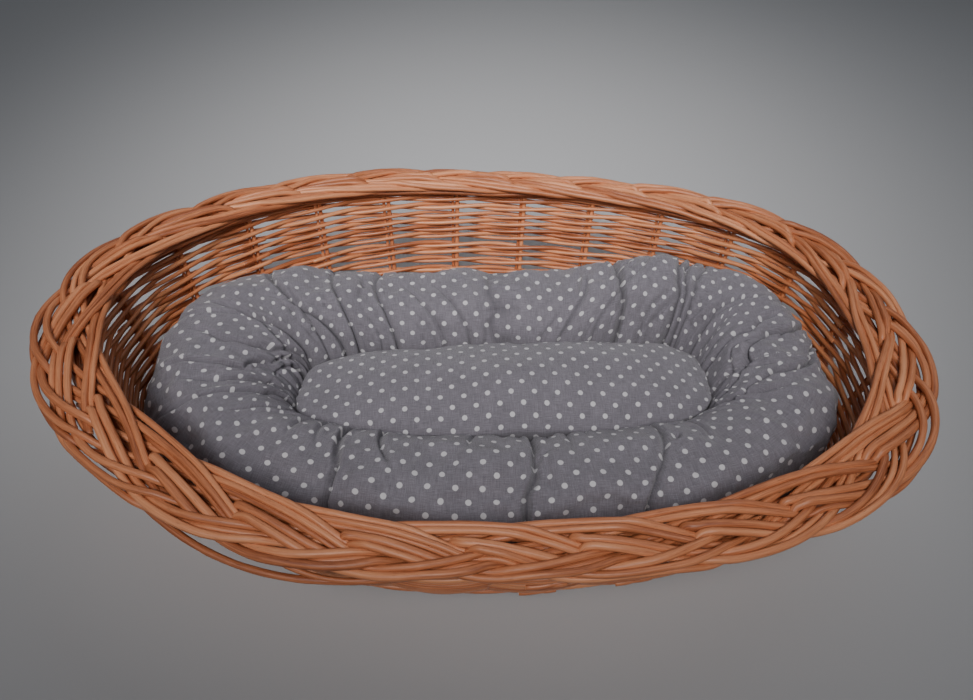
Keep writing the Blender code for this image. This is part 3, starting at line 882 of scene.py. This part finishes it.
# Folds that do not reach across: path as above, how far across they reach, depth, width.
FOLDS = (
    ((158, 0, 160.5, 0.25, 162, 0.41, 165.2, 0.56, 168.2, 0.78), 0.92, 6.8, 2),
    ((167, 0, 165.6, 0.1, 161.1, 0.29, 160, 0.48, 160, 0.7), 0.8, 4, 1.8),
    ((160, 0, 171.9, 0.11, 174.6, 0.22, 176.5, 0.4, 175, 0.6), 0.72, 5.6, 2),
    ((163, 0, 176.9, 0.09, 180.5, 0.25, 181, 0.42, 181, 0.84), 0.95, 6.2, 2),
    ((168, 0, 182.9, 0.08, 186.7, 0.22, 188.5, 0.37, 188.5, 0.54), 0.7, 5.2, 1.8),
    ((184, 0, 192.7, 0.12, 195.8, 0.29, 197.5, 0.49, 199, 0.71), 0.95, 5.2, 1.8),
    ((203, 0, 205.5, 0.09, 207.3, 0.33, 207.8, 0.44), 0.55, 4.2, 1.8),
    ((240, 0, 255, 0.62), 0.6, 6, 2),
    ((19, 0, 23, 0.15, 23.4, 0.28, 20.2, 0.51), 0.6, 4.6, 1.8),
    ((3, 0, 5.3, 0.13, 5.3, 0.26, 9, 0.42, 10, 0.58), 0.65, 4.8, 1.8),
    ((356, 0, 361.8, 0.11, 362.5, 0.28), 0.36, 4.2, 1.6),
    ((338, 0, 340.7, 0.14, 342.2, 0.29, 346.4, 0.48), 0.55, 4.6, 1.8),
    ((75.9, 0, 77.4, 0.23, 81.9, 0.56), 0.6, 3.4, 2),
    ((66, 0, 67.5, 0.45, 73, 1), 0.85, 3, 2),
    ((104, 0, 101, 0.5), 0.55, 3.2, 2),
    ((97, 0, 96, 0.5), 0.5, 3, 2),
    ((148, 0, 131, 0.6), 0.6, 3.6, 1.8),
    ((216, 0, 226, 0.4), 0.48, 3.6, 1.8),
    ((222, 0, 236, 0.45), 0.5, 3.4, 1.8),
    ((318, 0, 308, 0.45), 0.5, 3.6, 1.8),
    ((263, 0, 264, 0.3), 0.35, 3, 1.8),
    ((281, 0, 279, 0.3), 0.35, 3, 1.8),
)


def soft_blur(field, reach):
    """Blur of a field that is periodic both ways. reach is in cells, one number for each way."""
    ku = np.fft.fftfreq(field.shape[0])[:, None]
    kv = np.fft.fftfreq(field.shape[1])[None]
    keep = np.exp(-2.0 * math.pi ** 2 * ((ku * reach[0]) ** 2 + (kv * reach[1]) ** 2))
    return np.real(np.fft.ifft2(np.fft.fft2(field, axes=(0, 1)) * keep[..., None], axes=(0, 1)))


def settle_cloth(grid, held):
    """Cloth simulation of the ring's slack cloth, held by weights: how far each point of its grid moves."""
    mesh = bpy.data.meshes.new("cloth_trial")
    mesh.from_pydata(grid.reshape(-1, 3).tolist(), [], grid_faces(*grid.shape[:2]))
    obj = bpy.data.objects.new("cloth_trial", mesh)
    scene.collection.objects.link(obj)
    group = obj.vertex_groups.new(name="held")
    for level in (0.5, 1.0):
        chosen = np.nonzero(np.round(np.clip(held.ravel(), 0, 1) * 2) / 2 == level)[0]
        group.add([int(i) for i in chosen], level, "REPLACE")
    cloth = obj.modifiers.new("cloth", "CLOTH")
    made = cloth.settings
    made.quality = 6
    made.mass = 0.10
    made.tension_stiffness = 20.0
    made.compression_stiffness = 20.0
    made.shear_stiffness = 8.0
    made.bending_stiffness = 0.03
    made.air_damping = 2.0
    made.use_pressure = True
    made.uniform_pressure_force = RING_PRESSURE
    made.shrink_min = -CLOTH_SLACK
    made.shrink_max = -CLOTH_SLACK
    made.vertex_group_mass = "held"
    made.effector_weights.gravity = 0.0
    cloth.collision_settings.use_collision = False
    for step in range(1, CLOTH_STEPS + 1):
        scene.frame_set(step)
    done = obj.evaluated_get(bpy.context.evaluated_depsgraph_get()).data
    co = np.empty(len(done.vertices) * 3)
    done.vertices.foreach_get("co", co)
    move = co.reshape(grid.shape) - grid
    bpy.data.objects.remove(obj)
    bpy.data.meshes.remove(mesh)
    scene.frame_set(1)
    far = np.linalg.norm(move, axis=2, keepdims=True)
    return move * np.minimum(1.0, CLOTH_CAP / (far + 1e-9))


def ring_creases(t, across, section, top, pace):
    """Creases of the ring: depth, painted shade and hold of the stitches, at each point of its grid."""
    n_u, n_v = across.shape
    u = (np.arange(n_u) / n_u)[:, None] * np.ones((1, n_v))
    v = (np.arange(n_v) / n_v)[None] * np.ones((n_u, 1))
    depth = np.zeros((n_u, n_v))
    # painted shade that darkens the cloth along the creases, 0 to 1
    dark = np.zeros((n_u, n_v))
    held = np.zeros((n_u, n_v))

    def from_line(course):
        """Metres round the ring from a line whose angle is given, at each point."""
        return (np.mod(t - course + math.pi, TAU) - math.pi) * pace

    def crease(path, deep, wide, far=1.2, soft=0.012, waver=0.007):
        at = np.radians(path[0::2])
        place = path[1::2]
        course = np.interp(across, place, at)
        inward = np.interp(across, place, [same_x(a) for a in at])
        course = course + (inward - course) * np.clip(1 - across, 0, 1) ** 2
        wobble = waver * loop_noise(v + at[0], u * 0.0, 15, 2, int(1000 * abs(at[0])) % 977)
        d = from_line(course - wobble)
        window = top * np.clip((far - across) / 0.22, 0, 1)
        valley = np.exp(-((np.abs(d) / wide) ** 1.25))
        lips = np.exp(-(((np.abs(d) - 2.6 * wide) / (1.5 * wide)) ** 2)) * 0.22
        shoulder = np.exp(-((d / soft) ** 2)) * 0.26
        stitch = np.exp(-((np.abs(d) / (0.6 * wide)) ** 1.6))
        return deep * (valley + shoulder - lips) * window, stitch * window

    for path, deep, wide in SEAMS:
        pressed, stitch = crease(path, 1.2 * deep * MM, wide * MM, 1.25, 0.014)
        depth += pressed
        held = np.maximum(held, np.minimum(1.0, 1.6 * stitch))
        # painted shade along each seam, darker for deeper seams
        dark = np.maximum(dark, stitch * min(1.0, deep / 6.5))
    for path, far, deep, wide in FOLDS:
        pressed, stitch = crease(path, 1.25 * deep * MM, wide * MM, far, 0.007, 0.003)
        depth += pressed
        held = np.maximum(held, np.minimum(1.0, 1.4 * stitch))
        # painted shade in each fold, lighter than along the seams
        dark = np.maximum(dark, stitch * 0.45)
    # short wrinkles that run off each seam, with a little painted shade in each
    gap = np.hypot(np.diff(section[0] * 0.06), np.diff(section[1] * 0.055))
    tube = np.concatenate([[0.0], np.cumsum(gap)])[None]
    r = np.random.default_rng(31)
    for path, deep, _ in SEAMS:
        for _ in range(int(2.8 * deep)):
            place = r.uniform(0.02, 0.95)
            at = math.radians(float(np.interp(place, path[1::2], path[0::2])))
            row = int(np.argmin(np.abs(across[0, : n_v // 2] - place)))
            dx = from_line(at)
            dy = tube - tube[0, row]
            lean = math.radians(r.choice([-1, 1]) * r.uniform(25, 70))
            ahead = (dx * math.cos(lean) + dy * math.sin(lean)) * r.choice([-1.0, 1.0])
            aside = -dx * math.sin(lean) + dy * math.cos(lean)
            k = np.clip(ahead / r.uniform(0.010, 0.030), 0, 1)
            shape = np.exp(-((aside / r.uniform(0.0012, 0.0022)) ** 2)) * (1 - k) ** 1.3 * (ahead > -0.002)
            depth += shape * r.uniform(0.0014, 0.0036) * top
            dark = np.maximum(dark, shape * 0.16 * top)
    # many small gathers where the ring is drawn in to the pad, each with a little painted shade
    r = np.random.default_rng(12)
    for _ in range(GATHERS):
        at = r.uniform(0, 360)
        ends = abs(math.cos(math.radians(at)))
        far = r.uniform(0.10, 0.20) + 0.32 * ends * r.random()
        lean = r.normal(0, 3.0) + (9.0 if 150 < at < 200 else 0.0)
        deep, wide = r.uniform(0.0012, 0.0028), r.uniform(0.0012, 0.0022)
        pressed, stitch = crease((at, 0.0, at + lean, 0.5), deep, wide, far, 0.005)
        depth += pressed
        dark = np.maximum(dark, stitch * 0.18)
    # folds that run together don't add up without end
    depth = np.where(depth > 0, DEEPEST * np.tanh(depth / DEEPEST), depth)
    lumps = loop_noise(u, v, 22, 5, 3) * 0.0030 + loop_noise(u, v, 60, 11, 4) * 0.0014
    lumps += loop_noise(u + 0.02 * v, v, 190, 12, 7) * 0.0011 + loop_noise(u, v, 330, 60, 8) * 0.00022
    depth -= (lumps + 0.0008) * np.clip(section[2] + 0.75, 0, 1)
    return depth, np.clip(dark, 0, 1), held


def ring_puckers(points, held, top, across):
    """Small puckers of slack cloth that is held at the seams, underneath and along the inner edge."""
    n_u, n_v = across.shape
    step = RING_GRID_STEP
    weights = held.reshape(n_u // step, step, n_v)[:, :, ::step].max(1)
    move = settle_cloth(points[::step, ::step], weights)
    move = move - soft_blur(move, (9.0, 6.0))
    move = soft_blur(move, (0.6, 0.6)) * PUCKER
    rows = np.arange(n_u)[:, None] * move.shape[0] / n_u
    cols = np.arange(n_v)[None] * move.shape[1] / n_v
    move = np.stack([read_between(move[..., k], rows, cols) for k in range(3)], -1)
    return move * (top * np.clip((across - 0.10) / 0.30, 0, 1))[..., None]


def ring_shape():
    """The stuffed ring: gathered to the pad on its inner side and pinched by cross seams."""
    n_u, n_v = 1080, 201
    fine = fine_angles()
    a_in = outline(fine, *RING_INNER)
    a_out = outline(fine, *RING_OUTER)
    t = even_angles(a_in * 0.45 + a_out * 0.55, n_u)
    inner = outline(t, *RING_INNER)
    outer = outline(t, *RING_OUTER)
    way = outer - inner
    reach = np.linalg.norm(way, axis=1)
    way = way / reach[:, None]
    centre = (inner + outer) / 2.0
    breadth = reach[:, None] / 2.0
    rise = sum(h * np.maximum(0.0, np.cos(t - towards)) for h, towards in RING_RISES)
    back = np.interp(outer[:, 0], BACK_PLACES, BACK_LEVELS) * np.clip(np.sin(t) / 0.35, 0, 1)
    half_up = ((RING_HEIGHT + rise + back) / 2.0)[:, None]
    turn = TAU * (np.arange(n_v) + 0.5) / n_v
    c = np.cos(turn)
    s = np.sin(turn)
    # the section is a slightly squared oval: out and up, each -1 to 1
    sx = signed_power(c, SECTION_POWER)
    sz = signed_power(s, SECTION_POWER)
    everywhere = np.ones((n_u, 1))
    across = (sx + 1.0) / 2.0 * everywhere
    top = np.clip((s + 0.75) / 0.55, 0, 1) * everywhere
    # metres per radian at each point, for the true width of a crease
    step = 1e-3
    pace_in, pace_out = (
        np.linalg.norm(outline(t + step, *edge) - outline(t - step, *edge), axis=1)[:, None] / (2 * step)
        for edge in (RING_INNER, RING_OUTER)
    )
    pace = np.clip(pace_in * (1 - across) + pace_out * across, 0.05, 0.60)
    depth, dark, held = ring_creases(t[:, None], across, (sx, sz, s), top, pace)
    lean = RING_LEAN * sz * half_up
    side = sx * (breadth - depth) + lean
    z = np.maximum(STUFFING_FLOOR + half_up + sz * (half_up - depth), STUFFING_FLOOR)
    plan = centre[:, None] + way[:, None] * side[..., None]
    points = np.concatenate([plan, z[..., None]], -1)
    held = np.maximum(held, np.clip((-0.25 - s) / 0.2, 0, 1))
    held = np.maximum(held, np.clip((0.06 - across) / 0.03, 0, 1))
    points = points + ring_puckers(points, held, top, across)
    # the cloth is a strip that runs round the ring: metres along it and across it
    line = a_in * 0.27 + a_out * 0.73
    run = lengths_along(line)
    heading = np.gradient(line, axis=0)
    heading /= np.linalg.norm(heading, axis=1)[:, None]
    tree = KDTree(len(line) - 1)
    for i, q in enumerate(line[:-1]):
        tree.insert((q[0], q[1], 0.0), i)
    tree.balance()
    foot = np.array([tree.find((x, y, 0.0))[1] for x, y in plan.reshape(-1, 2)]).reshape(n_u, n_v)
    along = run[foot] + np.einsum("abk,abk->ab", plan - line[foot], heading[foot])
    along = along / run[-1] * round(run[-1] / DOT_PITCH) * DOT_PITCH
    gap = np.hypot(np.diff(sx * breadth + lean, axis=1), np.diff(sz * half_up, axis=1))
    tube = np.concatenate([np.zeros((n_u, 1)), np.cumsum(gap, axis=1)], 1)
    tube = tube - tube[:, n_v // 4][:, None]
    faces = [face[::-1] for face in grid_faces(n_u, n_v)]
    # the cloth's third number is the painted shade of the creases
    return points.reshape(-1, 3), faces, "cloth", np.stack([along, tube, dark], -1).reshape(-1, 3)


def pad_shape():
    """The crowned centre pad, its edge tucked against the ring."""
    n_r, n_t = 120, 420
    t = np.linspace(0, TAU, n_t + 1)[:-1]
    rim_t = even_angles(outline(fine_angles(), *PAD_OUTLINE), n_t)
    rim_x, rim_y = (outline(rim_t, *PAD_OUTLINE) - PAD_OUTLINE[0]).T
    normal = np.stack([np.roll(rim_y, -1) - np.roll(rim_y, 1), np.roll(rim_x, 1) - np.roll(rim_x, -1)], -1)
    normal /= np.linalg.norm(normal, axis=1)[:, None]
    profile = []
    for q in np.linspace(0, 1, n_r):
        k = (q - PAD_EDGE_ROWS) / (1 - PAD_EDGE_ROWS)
        if q < PAD_EDGE_ROWS:
            k = q / PAD_EDGE_ROWS
            profile.append((0.92 + 0.08 * math.sin(k * math.pi / 2), k * PAD_EDGE_HEIGHT, k, k))
        else:
            share = max(math.cos(k * math.pi / 2), 0.003)
            rim = math.exp(-(((share - 1.0) / 0.10) ** 2))
            profile.append((share, PAD_EDGE_HEIGHT + PAD_CROWN * (1 - share ** 2) ** 0.8, rim, 1.0))
    profile = np.array(profile)
    # how much longer the cloth's way in from the rim is than the way on the plan
    step_r = np.abs(np.diff(profile[:, 0])) * PAD_HALF_WIDTH
    spare = np.hypot(step_r, np.diff(profile[:, 1])) - step_r
    spare = np.concatenate([np.cumsum(spare[::-1])[::-1], [0.0]])
    rows = []
    cloth = []
    dark = []
    for (share, height, rim, top), extra in zip(profile, spare):
        x = rim_x * share
        y = rim_y * share
        small = value_noise(x, y, 0.030, 22) * 0.0015 + value_noise(x, y, 0.011, 23) * 0.0006
        big = value_noise(x, y, 0.075, 21) * 0.0038
        pleat = loop_noise(t / TAU, np.full_like(t, 0.3), 62, 3, 25) * 0.0030 * rim
        z = STUFFING_FLOOR + height + (small + big * (1 - rim * 0.5) + pleat) * top
        shrink = 1.0 - np.abs(loop_noise(t / TAU, np.full_like(t, 0.6), 80, 3, 26)) * 0.010 * rim
        rows.append(np.stack([PAD_OUTLINE[0][0] + x * shrink, PAD_OUTLINE[0][1] + y * shrink, z], -1))
        cloth.append(np.stack([x, y], -1) + normal * extra)
        # painted shade low on the pad's side, where it tucks down against the ring
        dark.append(np.full(n_t, min(1.0, max(0.0, (0.074 - height) / 0.02)) * 0.5))
    c = math.cos(PAD_PRINT_TURN)
    s = math.sin(PAD_PRINT_TURN)
    flat = np.array(cloth).reshape(-1, 2) @ np.array([[c, s], [-s, c]])
    coords = np.column_stack([flat, np.concatenate(dark)])
    return np.array(rows).reshape(-1, 3), capped_faces(n_r, n_t), "cloth", coords


def panel_shape():
    """The flat cloth that closes the cushion underneath, with its two faces."""
    n_t = 160
    t = np.linspace(0, TAU, n_t + 1)[:-1]
    x, y = super_xy(t, PANEL_HALF_LENGTH, PANEL_HALF_WIDTH, PANEL_POWER)
    shares = np.linspace(0.02, 1.0, 24)
    levels = [(q, 0.0002) for q in shares] + [(q, 0.0012) for q in shares[::-1]]
    rows = []
    for q, level in levels:
        ripple = value_noise(x * q, y * q, 0.05, 31) * 0.00012
        rows.append(
            np.stack([PANEL_CENTRE[0] + x * q, PANEL_CENTRE[1] + y * q, PANEL_FLOOR + level + ripple], -1)
        )
    pts = np.array(rows).reshape(-1, 3)
    return pts, capped_faces(len(rows), n_t), "cloth", pts * np.array([1.0, 1.0, 0.0])


def cushion():
    """The ring, the pad and the bottom panel."""
    ring = smooth_object("cushion_ring", *ring_shape(), COTTON)
    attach(ring, "cushion")
    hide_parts("cushion_bolster")
    pad = smooth_object("cushion_centre", *pad_shape(), COTTON)
    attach(pad, "cushion")
    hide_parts("cushion_pad")
    panel = smooth_object("cushion_underside", *panel_shape(), LINING)
    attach(panel, "cushion")
    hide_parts("cushion_bottom_panel")


# ---- surroundings


def surroundings():
    mesh = bpy.data.meshes.new("floor")
    bm = bmesh.new()
    bmesh.ops.create_grid(bm, x_segments=1, y_segments=1, size=FLOOR_SIZE)
    bm.to_mesh(mesh)
    bm.free()
    floor = bpy.data.objects.new("floor", mesh)
    scene.collection.objects.link(floor)
    s = Shade("pale_floor")
    cloudy = s.add("TexNoise", {"Scale": 3.0}).outputs["Fac"]
    tint = s.ramp(cloudy, [(0.3, (0.50, 0.50, 0.51)), (0.7, (0.53, 0.53, 0.535))])
    s.dress({"Base Color": tint, "Roughness": 0.9})
    mesh.materials.append(s.mat)

    def area(name, place, aim, size_x, size_y, power, colour, spread):
        light = bpy.data.lights.new(name, "AREA")
        light.shape = "RECTANGLE"
        light.size = size_x
        light.size_y = size_y
        light.energy = power
        light.color = colour
        light.spread = math.radians(spread)
        obj = bpy.data.objects.new(name, light)
        scene.collection.objects.link(obj)
        obj.location = place
        way = Vector(aim) - Vector(place)
        obj.rotation_euler = way.to_track_quat("-Z", "Y").to_euler()

    area("window_soft", (-0.25, -0.85, 1.55), (0.02, 0.44, 0.15), 1.1, 0.9, 4.5, (1.0, 0.985, 0.975), 44.0)
    area("room_fill", (0.7, 1.1, 1.9), (0.0, 0.0, 0.1), 2.2, 1.6, 6.5, (0.93, 0.96, 1.0), 180.0)
    world = bpy.data.worlds.new("studio")
    scene.world = world
    world.use_nodes = True
    back = world.node_tree.nodes["Background"]
    back.inputs[0].default_value = (0.80, 0.84, 0.90, 1.0)
    back.inputs[1].default_value = 0.15


def camera():
    """The photo's viewpoint, solved from the rim and the rows of dots."""
    cam = bpy.data.cameras.new("photo_view")
    cam.sensor_fit = "HORIZONTAL"
    cam.sensor_width = SENSOR_WIDTH
    cam.lens = CAMERA_FOCAL * SENSOR_WIDTH
    obj = bpy.data.objects.new("photo_view", cam)
    scene.collection.objects.link(obj)
    yaw = Matrix.Rotation(-CAMERA_YAW, 4, "Z")
    pitch = Matrix.Rotation(math.pi / 2 - CAMERA_PITCH, 4, "X")
    roll = Matrix.Rotation(CAMERA_ROLL, 4, "Z")
    obj.matrix_world = Matrix.Translation(CAMERA_PLACE) @ yaw @ pitch @ roll
    scene.camera = obj


bands()
stakes()
border()
base()
cushion()
surroundings()
camera()
